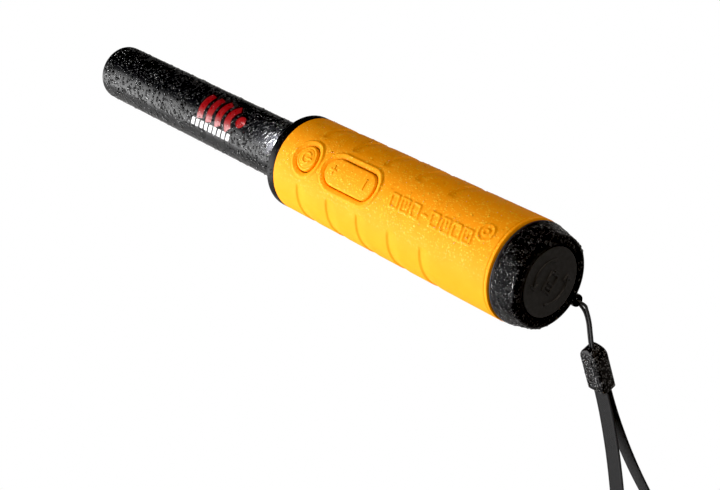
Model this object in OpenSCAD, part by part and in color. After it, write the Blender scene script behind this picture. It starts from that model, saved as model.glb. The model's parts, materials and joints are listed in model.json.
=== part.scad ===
// Handheld pinpointer probe, held level in a hand, with its wrist lanyard hanging down.
// The tube's axis is X: the sensing tip points to -X and the battery cap to +X.
// "Handle frame" below means the frame in which the buttons lie on the +Z side.

/* [Overall] */
// Length from the sensing tip to the battery cap's end face
total_len = 253; // [250:1:256]
// Distance from the palm's grip point to the cap's end face
cap_end_x = 68; // [67:0.5:69]
// How far the button line is rolled from straight up, towards -Y
roll = 30; // [0:5:60]

/* [Probe] */
// Outer radius of the probe tube
probe_r = 11.3; // [11:0.1:11.5]
// Wall thickness of the probe tube
probe_wall = 1.6; // [1.2:0.1:1.8]
// Rounding of the tip's edge
tip_round = 1.6; // [0.8:0.1:2]

/* [Handle] */
// Length of the rubber grip sleeve
grip_len = 114.4; // [114:0.1:115]
// Outer radius of the grip at its front end
grip_front_r = 18.2; // [18:0.1:18.4]
// Outer radius of the grip at its rear end
grip_rear_r = 18.7; // [18.5:0.1:18.8]
// Outer radius of the rigid shell under the grip
shell_r = 16.9; // [16.8:0.05:17]
// Inner radius of the rigid shell
shell_in = 15.3; // [15.2:0.05:15.4]
// Axial length of the collar's rim ahead of the grip
collar_rim = 4.3; // [3.5:0.1:5]

/* [Buttons] */
// Radius of the round power button
power_r = 4.9; // [4.6:0.1:5]
// Length of the two-way function rocker
rocker_len = 26; // [25:0.5:27]
// Width of the function rocker
rocker_w = 10.6; // [10:0.2:11]
// How far the power button travels
power_travel = 0.8; // [0.5:0.1:0.8]
// Height of the raised rims round the buttons
rim_h = 0.55; // [0.3:0.05:0.8]

/* [Battery cap] */
// Thread pitch of the cap
pitch = 2; // [1.9:0.05:2.1]
// Radius of the cap's rim at its end face
cap_rim_r = 15.2; // [15:0.1:15.6]
// Number of finger scallops round the cap
scallops = 6; // [5:1:8]
// Radius of the round badge in the end face
badge_r = 12.6; // [12:0.1:12.8]

/* [Lanyard] */
// Diameter of the thin cord
cord_d = 1.1; // [0.9:0.1:1.1]
// Width of the webbing
strap_w = 7; // [6:0.5:7.5]
// Thickness of the webbing
strap_t = 1; // [0.8:0.1:1.2]

/* [Hidden] */
$fn = 96;
tip_x = cap_end_x - total_len;
tip_wall = 2.2;
grip_rear_x = 56.7;
grip_front_x = grip_rear_x - grip_len;
collar_front_x = grip_front_x - collar_rim;
gap = 0.05;                         // gap between pieces that are fitted together
probe_in = probe_r - probe_wall;
spigot_r = probe_r - 0.3;           // the tube steps down where it enters the collar
probe_back_x = -52.6;               // where the tube ends inside the handle
power_x = -42.4;
rocker_x = -18.4;
button_gap = 0.35;                  // gap round a button in its opening
rim_w = 2.3;                        // width of the raised rim round a button
button_top = 18.55;                 // radius of the cylinder that the button tops follow
rocker_reach = 9.2;                 // distance of each rocker contact from the rocker's middle
rocker_pivot_z = 16;
ridge_r = 0.6;                      // rounding of the ridge that the rocker tilts over
ridge_len = 8;
ridge_gap = 0.15;
stem_r = 2.4;
pill_r = 1.9;
pill_h = 0.4;
board_top = 8.6;
board_t = 1.6;
board_w = 24;
board_front_x = -51;
board_len = 51;
pad_t = 0.1;
frame_top = 12.1;
frame_t = 1.2;
collar_face_x = collar_front_x - 1.4;
torch_z = 14.75;                    // distance of the torch's lens from the tube's axis
torch_r = 2.1;
bobbin_x0 = -179;
bobbin_flanges = [-179, -163, -126, -110.5];
bobbin_tube_r = 5;
flange_t = 1.5;
flange_r = 9.3;
ferrite_r = 4;
motor_x = -49;
motor_len = 11;
motor_z = -5.5;
motor_r = 3;
weight_x = -36.5;
sounder_x = -16;
battery_x = 14;
battery_len = 46;
battery_w = 26.5;
battery_h = 17.5;
battery_edge = 3;                   // rounding of the battery's long edges
terminal_y = 6.35;
lead_d = 1.4;                       // battery lead
coil_lead_d = 0.7;
neck_in = 14.95;
neck_core = 15.9;
neck_x = 57;                        // rear face of the neck ring's flange
neck_end_x = 63.4;
web = 0.9;                          // thickness of the neck ring's flange
step_x = 50;                        // where the shell steps down for the neck ring
step_r = 16.1;
front_wall_x = -53;                 // inner face of the shell's front wall
oring_x = -55.4;
thread_x = 59;                      // where the neck's thread starts
thread_crest = 16.7;
cap_bore = 16.9;
cap_thread_crest = 16.1;
cap_front_x = 58;
cap_floor_x = 64;
cap_r = 18.4;
shoulder_x = 61.5;                  // where the cap's side starts to curve in
pad_x = 60.4;                       // front face of the cap's foam pad
pad_r = 12;
gasket_x = 57.1;
gasket_t = 0.8;
thread_step = 10;                   // degrees between the thread's rings
badge_t = 0.9;
badge_groove = 0.4;                 // width of the groove round the badge
lug_x = 65.4;
lug_t = 2.2;
lug_hole_z = -18.4;
lug_r = 2.3;
lug_hole_r = 1.35;
lug_hole_flare = 0.5;               // the eyelet widens by this much at both faces
lug_foot = 4;                       // depth of the web that roots the lug in the cap
slider_top_z = -39.5;
slider_len = 20;
slider_w = 8.2;
slider_t = 6.4;
lanyard_x = 66.5;
lanyard_y = 10.8;

// Route of the thin cord: from the slider, up through the lug's eyelet, and back down
cord_route = [
    [65.8, 10.8, -41.5], [65.8, 10.8, -38], [65.8, 10.8, -34], [65.75, 10.9, -30], [65.6, 10.9, -27],
    [65.3, 10.9, -24.2], [64.85, 10.75, -21.6], [64.45, 10.6, -19.4], [64.4, 10.25, -17.75],
    [65, 9.45, -16.4], [66.5, 9.2, -15.93], [68, 9.45, -16.4], [68.6, 10.25, -17.75],
    [68.55, 10.6, -19.4], [68.15, 10.75, -21.6], [67.7, 10.9, -24.2], [67.4, 10.9, -27],
    [67.25, 10.9, -30], [67.2, 10.8, -34], [67.2, 10.8, -38], [67.2, 10.8, -41.5]];

// Route of the webbing's middle line: down one leg, round the wrist loop and up the other
strap_route = [
    [66.5, 10, -56.5], [66.5, 9.9, -64], [66.5, 9.6, -72], [66.5, 8.9, -82], [66.5, 7.7, -94],
    [66.5, 5.8, -108], [66.5, 3.4, -122], [66.5, 0.6, -136], [66.5, -2, -150], [66.5, -3.9, -164],
    [66.5, -4.6, -176], [66.5, -3.6, -184], [66.5, -0.6, -190.6], [66.5, 4.4, -195],
    [66.5, 10.8, -196.6], [66.5, 17.2, -195], [66.5, 22.2, -190.6], [66.5, 25.2, -184],
    [66.5, 26.2, -176], [66.5, 25.5, -164], [66.5, 23.6, -150], [66.5, 21, -136],
    [66.5, 18.2, -122], [66.5, 15.8, -108], [66.5, 13.9, -94], [66.5, 12.7, -82],
    [66.5, 12, -72], [66.5, 11.7, -64], [66.5, 11.6, -56.5]];

// Routes inside the handle, in the handle frame
lead_route = [[-1, 4, 6.2], [0.8, 4.3, 4.8], [2.2, 5, 2], [2.9, 5.8, -1], [3.8, 6.3, -2.7],
    [5.2, 6.35, -3], [8, 6.35, -3]];
coil_route = [[-109, 2, 5.5], [-105, 1.2, 3], [-98, 1, 1], [-80, 1, 0.5], [-62, 1, 2], [-55, 1.5, 5],
    [-50, 2, 6.4]];
// The same route on the other side of the handle
function other_side(p) = [for (q = p) [q[0], -q[1], q[2]]];

// ---- helpers -------------------------------------------------------------------------------

// Turns the handle frame into the part's frame
module rolled() rotate([roll, 0, 0]) children();

// Stands a shape drawn along +Z on the X axis, starting at x
module along_x(x = 0) translate([x, 0, 0]) rotate([0, 90, 0]) children();

// Solid of revolution about the X axis from points [radius, x]
module turned(points) rotate([0, 90, 0]) rotate_extrude() polygon(points);

// Stands a shape of the given length drawn along +Z on the Y direction, centred at (x, 0, z)
module across_y(x, z, len) translate([x, len / 2, z]) rotate([90, 0, 0]) children();

module ring(x0, x1, r_in, r_out)
    turned([[r_in, x0], [r_out, x0], [r_out, x1], [r_in, x1]]);

// Bar with round ends along X, drilled straight down
module stadium(len, w, h) {
    for (s = [-1, 1]) translate([s * (len - w) / 2, 0, 0]) cylinder(d = w, h = h);
    translate([-(len - w) / 2, -w / 2, 0]) cube([len - w, w, h]);
}

// Points of an arc, used in turned outlines
function arc(cx, cy, r, a0, a1, n) =
    [for (i = [0:n]) let (a = a0 + (a1 - a0) * i / n) [cx + r * cos(a), cy + r * sin(a)]];

function unit(v) = v / norm(v);
// Direction of a route at its point i
function heading(p, i) = unit(p[min(i + 1, len(p) - 1)] - p[max(i - 1, 0)]);

// Rings of points round a route: a flat or round section of the given size, with its width
// along "side" as far as the route allows
function sweep_points(p, w, t, side, sides) =
    [for (i = [0:len(p) - 1])
        let (h = heading(p, i), u = unit(side - h * (h * side)), v = cross(h, u))
        for (k = [0:sides - 1])
            let (a = 360 * (k + 0.5) / sides) p[i] + u * w / 2 * cos(a) + v * t / 2 * sin(a)];

// Faces that close the rings into a tube with flat ends
function sweep_faces(n, sides) = concat(
    [[for (k = [0:sides - 1]) k]],
    [for (i = [0:n - 2]) for (k = [0:sides - 1])
        [i * sides + k, (i + 1) * sides + k, (i + 1) * sides + (k + 1) % sides, i * sides + (k + 1) % sides]],
    [[for (k = [sides - 1:-1:0]) (n - 1) * sides + k]]);

module swept(p, w, t, side, sides = 8)
    polyhedron(sweep_points(p, w, t, side, sides), sweep_faces(len(p), sides));

// Helical rib about X. "root" and "crest" are its radii, "x0" its start, "turns" its length.
module thread_rib(root, crest, x0, turns) {
    steps = round(turns * 360 / thread_step);
    root_w = pitch * 0.5;
    crest_w = pitch * 0.25;
    section = [[root, -root_w / 2], [crest, -crest_w / 2], [crest, crest_w / 2], [root, root_w / 2]];
    outward = crest > root;
    points = [for (i = [0:steps]) for (q = section)
        let (a = i * thread_step, x = x0 + pitch * a / 360 + q[1]) [x, -q[0] * sin(a), q[0] * cos(a)]];
    faces = sweep_faces(steps + 1, 4);
    polyhedron(points, outward ? [for (f = faces) [for (k = [len(f) - 1:-1:0]) f[k]]] : faces);
}

// ---- probe ---------------------------------------------------------------------------------

module probe_tube() {
    color([0.06, 0.06, 0.07]) rolled()
        turned(concat(
            [[0, tip_x]],
            arc(probe_r - tip_round, tip_x + tip_round, tip_round, -90, 0, 8),
            [[probe_r, collar_face_x - gap], [spigot_r, collar_face_x - gap], [spigot_r, probe_back_x],
                [probe_in, probe_back_x], [probe_in, tip_x + tip_wall], [0, tip_x + tip_wall]]));
}

// Black flange between the tube and the grip, with a seat for the torch
module front_collar() {
    edge = 1.1;
    color([0.05, 0.05, 0.06]) rolled() difference() {
        turned(concat(
            [[spigot_r + gap, collar_face_x], [13, collar_face_x]],
            arc(grip_front_r - edge, collar_front_x + edge, edge, -90, 0, 6),
            [[grip_front_r, grip_front_x - gap], [spigot_r + gap, grip_front_x - gap]]));
        translate([0, 0, torch_z]) along_x(collar_face_x - 2) cylinder(r = torch_r + gap, h = 6.2);
    }
}

module torch_lens() {
    color([0.9, 0.95, 1, 0.6]) rolled() translate([0, 0, torch_z])
        turned(concat([[0, collar_face_x]],
            arc(torch_r - 0.8, collar_face_x + 0.8, 0.8, -90, 0, 4),
            [[torch_r, collar_face_x + 2], [0, collar_face_x + 2]]));
}

module torch_led() {
    color([0.95, 0.93, 0.75]) rolled() translate([0, 0, torch_z])
        along_x(collar_face_x + 2 + gap) cylinder(r = 1.5, h = 2);
}

module ferrite_core() {
    color([0.2, 0.2, 0.22]) rolled() along_x(bobbin_x0 + 0.5) cylinder(r = ferrite_r, h = 69);
}

module coil_bobbin() {
    color([0.85, 0.82, 0.7]) rolled() difference() {
        union() {
            ring(bobbin_x0, bobbin_flanges[3] + flange_t, ferrite_r + gap, bobbin_tube_r);
            for (x = bobbin_flanges) ring(x, x + flange_t, ferrite_r + gap, flange_r);
        }
        // Slot through which the windings' ends leave the last flange
        translate([bobbin_flanges[3] - 1, -3, 4.7]) cube([4, 6, 3]);
    }
}

// Winding that fills one chamber of the bobbin
module winding(i, r)
    ring(bobbin_flanges[i] + flange_t + gap, bobbin_flanges[i + 1] - gap, bobbin_tube_r + gap, r);

module receive_coil_front() { color([0.72, 0.35, 0.15]) rolled() winding(0, 8.2); }
module transmit_coil() { color([0.8, 0.42, 0.18]) rolled() winding(1, 8.6); }
module receive_coil_rear() { color([0.72, 0.35, 0.15]) rolled() winding(2, 8.2); }

module probe_bulkhead() {
    color([0.25, 0.25, 0.27]) rolled() difference() {
        along_x(-100) cylinder(r = probe_in - gap, h = 4);
        along_x(-101) cylinder(r = 2.6, h = 6);
    }
}

module coil_leads() {
    color([0.75, 0.4, 0.15]) rolled()
        for (p = [coil_route, other_side(coil_route)]) swept(p, coil_lead_d, coil_lead_d, [0, 1, 0.2]);
}

module probe_oring() {
    color([0.08, 0.08, 0.08]) rolled()
        rotate([0, 90, 0]) rotate_extrude() translate([spigot_r + 0.95, oring_x]) circle(r = 0.88, $fn = 24);
}

// ---- handle --------------------------------------------------------------------------------

// Openings for the power button and the rocker
module button_openings(z) {
    translate([power_x, 0, z]) cylinder(r = power_r + button_gap, h = 20);
    translate([rocker_x, 0, z]) stadium(rocker_len + 2 * button_gap, rocker_w + 2 * button_gap, 20);
}

module housing() {
    end_x = neck_x - web - gap;
    bore = spigot_r + gap;
    groove_r = spigot_r + 1.9;
    color([0.12, 0.12, 0.13]) rolled() difference() {
        turned([[bore, grip_front_x], [shell_r, grip_front_x], [shell_r, step_x], [step_r, step_x],
            [step_r, end_x], [shell_in, end_x], [shell_in, front_wall_x], [bore, front_wall_x],
            [bore, oring_x + 1], [groove_r, oring_x + 1], [groove_r, oring_x - 1], [bore, oring_x - 1]]);
        button_openings(5);
    }
}

module neck_ring() {
    color([0.1, 0.1, 0.11]) rolled() {
        turned([[step_r + gap, step_x + gap], [shell_r, step_x + gap], [shell_r, neck_x],
            [neck_core, neck_x], [neck_core, neck_end_x], [neck_in, neck_end_x],
            [neck_in, neck_x - web], [step_r + gap, neck_x - web]]);
        thread_rib(neck_core - 0.3, thread_crest, thread_x, 1.9);
    }
}

module grip_sleeve() {
    rim_r = grip_front_r + rim_h;
    color([0.98, 0.66, 0.05]) rolled() difference() {
        union() {
            along_x(grip_front_x) cylinder(r1 = grip_front_r, r2 = grip_rear_r, h = grip_len);
            intersection() {
                union() {
                    translate([power_x, 0, 10]) cylinder(r = power_r + button_gap + rim_w, h = 12);
                    translate([rocker_x, 0, 10]) stadium(
                        rocker_len + 2 * (button_gap + rim_w), rocker_w + 2 * (button_gap + rim_w), 12);
                }
                along_x(-60) cylinder(r = rim_r, h = 60);
            }
        }
        along_x(grip_front_x - 1) cylinder(r = shell_r + gap, h = grip_len + 2);
        button_openings(5);
    }
}

module button_frame() {
    stem_gap = 0.7;
    color([0.3, 0.3, 0.32]) rolled() {
        difference() {
            translate([-51, -8.8, frame_top - frame_t]) cube([50, 17.6, frame_t]);
            for (x = [power_x, rocker_x - rocker_reach, rocker_x + rocker_reach])
                translate([x, 0, 5]) cylinder(r = stem_r + stem_gap, h = 10);
        }
        // Round-topped ridge that the rocker tilts over
        translate([rocker_x - ridge_r, -ridge_len / 2, frame_top])
            cube([2 * ridge_r, ridge_len, rocker_pivot_z - frame_top]);
        across_y(rocker_x, rocker_pivot_z, ridge_len) cylinder(r = ridge_r, h = ridge_len);
        // Feet on the board
        for (x = [board_front_x + 4, board_front_x + 46]) for (y = [-6, 6])
            translate([x, y, board_top + gap]) cylinder(r = 1.4, h = frame_top - frame_t - board_top);
    }
}

// Button stem with room for its contact pill below
module stem(z0, z1) translate([0, 0, z0]) cylinder(r = stem_r, h = z1 - z0);

pill_z = board_top + pad_t + power_travel + gap;
rocker_pill_z = board_top + pad_t + 0.65;

module power_button() {
    color([0.98, 0.68, 0.08]) rolled() {
        intersection() {
            translate([power_x, 0, 16.9]) cylinder(r = power_r, h = 4);
            along_x(power_x - 10) cylinder(r = button_top, h = 20);
        }
        translate([power_x, 0, 0]) stem(pill_z + pill_h, 17);
    }
}

module power_pill() {
    color([0.1, 0.1, 0.1]) rolled() translate([power_x, 0, pill_z]) cylinder(r = pill_r, h = pill_h);
}

module function_rocker() {
    groove_len = ridge_len + 0.6;
    color([0.98, 0.68, 0.08]) rolled() {
        difference() {
            intersection() {
                translate([rocker_x, 0, rocker_pivot_z + 0.2]) stadium(rocker_len, rocker_w, 4);
                along_x(rocker_x - 20) cylinder(r = button_top, h = 40);
            }
            // Groove that rides on the frame's ridge
            across_y(rocker_x, rocker_pivot_z, groove_len) cylinder(r = ridge_r + ridge_gap, h = groove_len);
        }
        for (s = [-1, 1])
            translate([rocker_x + s * rocker_reach, 0, 0]) stem(rocker_pill_z + pill_h, rocker_pivot_z + 0.3);
    }
}

module rocker_pills() {
    color([0.1, 0.1, 0.1]) rolled() for (s = [-1, 1])
        translate([rocker_x + s * rocker_reach, 0, rocker_pill_z]) cylinder(r = pill_r, h = pill_h);
}

// ---- electronics ---------------------------------------------------------------------------

screw_spots = [[-48, 9.5], [-48, -9.5], [-3, 9.5], [-3, -9.5]];

module main_pcb() {
    color([0.05, 0.4, 0.2]) rolled() difference() {
        translate([board_front_x, -board_w / 2, board_top - board_t]) cube([board_len, board_w, board_t]);
        for (s = screw_spots) translate([s[0], s[1], 0]) cylinder(r = 1.1, h = 20);
    }
}

module contact_pads() {
    color([0.9, 0.75, 0.3]) rolled()
        for (x = [power_x, rocker_x - rocker_reach, rocker_x + rocker_reach])
            translate([x, 0, board_top]) cylinder(r = 2.2, h = pad_t);
}

// Chip of the given size on the board's lower face
module chip(x, y, l, w, h) translate([x - l / 2, y - w / 2, board_top - board_t - gap - h]) cube([l, w, h]);

module microcontroller() { color([0.12, 0.12, 0.14]) rolled() chip(-30, 0, 9, 9, 1.4); }

module analog_chips() {
    color([0.14, 0.14, 0.15]) rolled() for (y = [-6.5, 6.5]) chip(-42, y, 5, 4, 1.5);
}

module coil_driver() { color([0.15, 0.15, 0.17]) rolled() chip(-10, 6, 6.5, 6, 2.3); }

module capacitors() {
    color([0.15, 0.2, 0.45]) rolled() for (x = [-21, -15, -9])
        translate([x, -6, 0]) cylinder(r = 2.5, h = board_top - board_t - gap);
}

module crystal() { color([0.8, 0.8, 0.82]) rolled() chip(-22, 5, 4.5, 2.5, 1.2); }

module pcb_screws() {
    color([0.6, 0.6, 0.62]) rolled() for (s = screw_spots) translate([s[0], s[1], 0]) {
        translate([0, 0, board_top + gap]) cylinder(r = 1.9, h = 1.1);
        translate([0, 0, 3.2]) cylinder(r = 1, h = board_top + gap - 3.1);
    }
}

// Lower half of the inner frame, which carries the board, motor and sounder
module chassis() {
    under_board = board_top - board_t - gap;
    color([0.22, 0.22, 0.24]) rolled() difference() {
        union() {
            difference() {
                ring(-52, 2, 13.9, shell_in - gap);
                translate([-60, -20, 0]) cube([80, 40, 20]);
            }
            // Rails and screw bosses under the board
            for (s = screw_spots)
                translate([s[0], s[1], under_board - 4.5]) cylinder(r = 2.2, h = 4.5);
            intersection() {
                along_x(-52) cylinder(r = shell_in - gap, h = 54);
                for (s = [-1, 1]) translate([-52, s * 12.6 - 1.6, -1]) cube([54, 3.2, under_board + 1]);
            }
            for (s = screw_spots) translate([s[0] - 2.2, min(s[1], sign(s[1]) * 12.5), under_board - 4.5])
                cube([4.4, 3, 4.5]);
            // Shelf under the sounder and saddle under the motor
            translate([sounder_x - 11, -13, -8]) cube([22, 26, 1.2]);
            translate([motor_x + 1, -5, -14.2]) cube([motor_len - 3, 10, 14.2 + motor_z]);
        }
        for (s = screw_spots) translate([s[0], s[1], 0]) cylinder(r = 1.05, h = 20);
        translate([0, 0, motor_z]) along_x(motor_x - 2) cylinder(r = motor_r + gap, h = motor_len + 4);
    }
}

module piezo_sounder() {
    color([0.85, 0.7, 0.3]) rolled() translate([sounder_x, 0, -6.8 + gap]) {
        cylinder(r = 10, h = 2.4);
        translate([0, 0, 2.4]) cylinder(r = 6.5, h = 0.4);
    }
}

module vibration_motor() {
    color([0.75, 0.75, 0.78]) rolled() translate([0, 0, motor_z]) difference() {
        along_x(motor_x) cylinder(r = motor_r, h = motor_len);
        along_x(motor_x + 2) cylinder(r = 0.55, h = motor_len);
    }
}

module vibration_shaft() {
    color([0.8, 0.8, 0.82]) rolled() translate([0, 0, motor_z])
        along_x(motor_x + 3) cylinder(r = 0.5, h = weight_x + 4 - motor_x - 3);
}

// Eccentric weight, hanging straight down
module vibration_weight() {
    color([0.55, 0.52, 0.45]) rolled() translate([0, 0, motor_z]) rotate([-roll, 0, 0]) difference() {
        along_x(weight_x) cylinder(r = 2.9, h = 4);
        along_x(weight_x - 1) cylinder(r = 0.5 + gap, h = 6);
        translate([weight_x - 1, -4, 0.9]) cube([6, 8, 4]);
        for (s = [-1, 1]) translate([weight_x - 1, s * 3 - 2, 0]) cube([6, 4, 4]);
    }
}

// ---- battery -------------------------------------------------------------------------------

module bay_bulkhead() {
    color([0.22, 0.22, 0.24]) rolled() difference() {
        along_x(4.5) cylinder(r = shell_in - gap, h = 1.5);
        translate([4, -8, -4.5]) cube([3, 16, 3]);
    }
}

module battery() {
    e = battery_edge;
    w = battery_w / 2 - e;
    h = battery_h / 2 - e;
    color([0.2, 0.22, 0.28]) rolled() {
        translate([battery_x, -w, -h - e]) cube([battery_len, 2 * w, 2 * (h + e)]);
        translate([battery_x, -w - e, -h]) cube([battery_len, 2 * (w + e), 2 * h]);
        for (sy = [-1, 1]) for (sz = [-1, 1])
            translate([0, sy * w, sz * h]) along_x(battery_x) cylinder(r = e, h = battery_len);
    }
}

module battery_terminals() {
    color([0.85, 0.85, 0.87]) rolled() {
        translate([0, terminal_y, 0]) along_x(battery_x - 2.2 - gap) cylinder(r = 2.7, h = 2.2);
        translate([0, -terminal_y, 0]) along_x(battery_x - 2.2 - gap) cylinder(r = 3.6, h = 2.2, $fn = 6);
    }
}

module snap_connector() {
    color([0.1, 0.1, 0.1]) rolled() difference() {
        translate([8, -11.5, -5]) cube([4.4, 23, 10]);
        translate([0, terminal_y, 0]) along_x(11) cylinder(r = 2.8, h = 4);
        translate([0, -terminal_y, 0]) along_x(11) cylinder(r = 3.8, h = 4);
    }
}

module lead_red() { color([0.8, 0.1, 0.1]) rolled() swept(lead_route, lead_d, lead_d, [0, 1, 0.1]); }
module lead_black() {
    color([0.08, 0.08, 0.08]) rolled() swept(other_side(lead_route), lead_d, lead_d, [0, 1, 0.1]);
}

// ---- battery cap ---------------------------------------------------------------------------

module cap_gasket() { color([0.1, 0.1, 0.1]) rolled() ring(gasket_x, gasket_x + gasket_t, 16.8, 18.2); }

module battery_cap() {
    end_x = cap_end_x - 0.4;
    scallop_r = 24;
    scallop_depth = 0.1;
    scallop_tilt = 12;
    color([0.07, 0.07, 0.08]) rolled() difference() {
        union() {
            difference() {
                turned(concat(
                    [[cap_bore, cap_front_x], [cap_r - 0.1, cap_front_x], [cap_r + 0.05, cap_front_x + 0.5],
                        [cap_r, shoulder_x]],
                    [for (a = [15:15:90]) [cap_rim_r + (cap_r - cap_rim_r) * cos(a),
                        shoulder_x + (end_x - shoulder_x) * sin(a)]],
                    [[badge_r + badge_groove, end_x], [badge_r + badge_groove, cap_end_x - badge_t - gap],
                        [0, cap_end_x - badge_t - gap], [0, cap_floor_x], [cap_bore, cap_floor_x]]));
                for (i = [0:scallops - 1]) rotate([(i + 0.5) * 360 / scallops, 0, 0])
                    translate([cap_front_x + 1.5, 0, cap_r + scallop_r - scallop_depth])
                        rotate([0, 90 + scallop_tilt, 0])
                        cylinder(r = scallop_r, h = 14);
            }
            translate([0, 0, lug_hole_z]) along_x(lug_x) cylinder(r = lug_r, h = lug_t);
            translate([lug_x, -lug_r, lug_hole_z]) cube([lug_t, 2 * lug_r, lug_foot]);
            thread_rib(cap_bore + 0.25, cap_thread_crest, thread_x + pitch / 2, 1.7);
        }
        translate([0, 0, lug_hole_z]) {
            along_x(lug_x - 1) cylinder(r = lug_hole_r, h = lug_t + 2);
            along_x(lug_x) cylinder(r1 = lug_hole_r + lug_hole_flare, r2 = lug_hole_r, h = lug_hole_flare);
            along_x(lug_x + lug_t - lug_hole_flare)
                cylinder(r1 = lug_hole_r, r2 = lug_hole_r + lug_hole_flare, h = lug_hole_flare);
        }
    }
}

module cap_badge() {
    color([0.13, 0.13, 0.14]) rolled() along_x(cap_end_x - badge_t) cylinder(r = badge_r, h = badge_t);
}

module battery_pad() {
    color([0.2, 0.2, 0.22]) rolled() along_x(pad_x) cylinder(r = pad_r, h = cap_floor_x - gap - pad_x);
}

// ---- lanyard -------------------------------------------------------------------------------

module lanyard_cord() {
    color([0.05, 0.05, 0.05]) swept(cord_route, cord_d, cord_d, [0, 0.95, 0.3]);
}

module lanyard_slider() {
    round_r = slider_w / 2;
    color([0.06, 0.06, 0.06]) translate([lanyard_x, lanyard_y, 0]) difference() {
        union() {
            translate([-slider_w / 2, -slider_t / 2, slider_top_z - slider_len])
                cube([slider_w, slider_t, slider_len - round_r]);
            translate([0, slider_t / 2, slider_top_z - round_r]) rotate([90, 0, 0])
                cylinder(r = round_r, h = slider_t);
        }
        // Mouth that takes both legs of the webbing
        translate([-strap_w / 2 - 0.1, -1.6, slider_top_z - slider_len - 1]) cube([strap_w + 0.2, 3.2, 4]);
    }
}

module lanyard_strap() {
    color([0.08, 0.08, 0.09]) swept(strap_route, strap_w, strap_t, [1, 0, 0], 8);
}

// ---- output --------------------------------------------------------------------------------

probe_tube();
front_collar();
torch_lens();
torch_led();
ferrite_core();
coil_bobbin();
transmit_coil();
receive_coil_front();
receive_coil_rear();
probe_bulkhead();
coil_leads();
probe_oring();
housing();
neck_ring();
grip_sleeve();
button_frame();
power_button();
power_pill();
function_rocker();
rocker_pills();
main_pcb();
contact_pads();
microcontroller();
analog_chips();
coil_driver();
capacitors();
crystal();
pcb_screws();
chassis();
piezo_sounder();
vibration_motor();
vibration_shaft();
vibration_weight();
bay_bulkhead();
battery();
battery_terminals();
snap_connector();
lead_red();
lead_black();
cap_gasket();
battery_cap();
cap_badge();
battery_pad();
lanyard_cord();
lanyard_slider();
lanyard_strap();
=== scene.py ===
"""Looks of the pinpointer probe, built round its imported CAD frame.

Sizes are in millimetres until a mesh is made. The handle frame has the buttons on its +Z side;
it is the part's frame turned about the tube's axis, X, by the angle ROLL.
"""
import json
import math

import bmesh
import bpy
import numpy as np
from mathutils import Matrix, Vector

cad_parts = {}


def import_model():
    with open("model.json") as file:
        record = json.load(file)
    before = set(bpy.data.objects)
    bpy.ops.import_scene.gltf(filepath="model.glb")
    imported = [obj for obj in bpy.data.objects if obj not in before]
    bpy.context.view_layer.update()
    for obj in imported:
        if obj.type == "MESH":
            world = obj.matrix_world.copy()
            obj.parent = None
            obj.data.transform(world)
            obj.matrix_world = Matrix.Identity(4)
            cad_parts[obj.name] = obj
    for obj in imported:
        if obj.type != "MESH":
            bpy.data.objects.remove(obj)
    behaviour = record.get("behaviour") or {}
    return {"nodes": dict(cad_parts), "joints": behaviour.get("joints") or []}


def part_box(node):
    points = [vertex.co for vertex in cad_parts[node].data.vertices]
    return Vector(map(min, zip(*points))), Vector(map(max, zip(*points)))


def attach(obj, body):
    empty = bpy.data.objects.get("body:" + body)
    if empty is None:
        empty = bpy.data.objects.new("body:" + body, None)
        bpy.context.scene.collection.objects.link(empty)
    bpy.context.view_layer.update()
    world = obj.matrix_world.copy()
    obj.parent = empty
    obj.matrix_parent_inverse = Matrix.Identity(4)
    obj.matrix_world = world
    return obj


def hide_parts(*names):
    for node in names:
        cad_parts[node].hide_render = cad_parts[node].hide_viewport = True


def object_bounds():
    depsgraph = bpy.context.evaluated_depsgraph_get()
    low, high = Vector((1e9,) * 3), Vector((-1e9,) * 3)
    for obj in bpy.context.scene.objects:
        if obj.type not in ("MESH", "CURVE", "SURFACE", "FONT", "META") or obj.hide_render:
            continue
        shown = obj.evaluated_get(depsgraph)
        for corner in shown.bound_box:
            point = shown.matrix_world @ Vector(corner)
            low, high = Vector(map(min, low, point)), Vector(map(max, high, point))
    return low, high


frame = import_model()
cad_low, cad_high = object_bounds()

MM = 0.001
JOINTS = {joint["name"]: joint for joint in frame["joints"]}
press = JOINTS["power_press"]["axis"]
ROLL = math.atan2(press[1], -press[2])


def span(node, axis=0):
    """Lowest and highest coordinate of a CAD node along one axis, in millimetres."""
    low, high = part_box(node)
    return low[axis] / MM, high[axis] / MM


# ---- driving sizes ----

TIP_X, PROBE_BACK = span("probe_tube")
COLLAR_FACE, GRIP_FRONT = span("front_collar")
GRIP_REAR = span("grip_sleeve")[1]
CAP_FRONT, CAP_END = span("battery_cap")[0], span("cap_badge")[1]
PROBE_R = 11.3
GRIP_R = (18.2, 18.7)          # outer radius at the front and at the rear
SHELL_R = 16.95
BUTTON_TOP = 18.55             # radius of the cylinder that the button tops follow
BUTTON_GAP = 0.2
POWER = (sum(span("power_button")) / 2, 4.9)                 # middle and radius
ROCKER = (sum(span("function_rocker")) / 2, 7.7, 5.3)        # middle, half straight length, radius
ROCKER_PIVOT = 16
GROOVE_FIRST, GROOVE_PITCH, GROOVES = -43.4, 16.8, 5
GROOVE_START = 34              # degrees from the button line where the grooves begin
CAP_R, CAP_RIM, BADGE_R = 18.4, 15.2, 12.6
SHOULDER = 61.5                # where the cap's side starts to curve in
LUG_Z, LUG_R, LUG_HOLE = -18.4, 2.3, 1.35
LUG_X = (65.4, 67.6)
SLIDER_TOP, SLIDER_LEN, SLIDER_W, SLIDER_T = -39.5, 20, 8.2, 6.4
LANYARD = (66.5, 10.8)         # X and Y of the lanyard's middle line
CORD_D, STRAP_W, STRAP_T = 1.1, 7, 0.9
TORCH_Z = 14.75                # distance of the torch from the tube's axis
AXIS_R = 0.001                 # where an outline meets the axis that it is turned about

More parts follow.
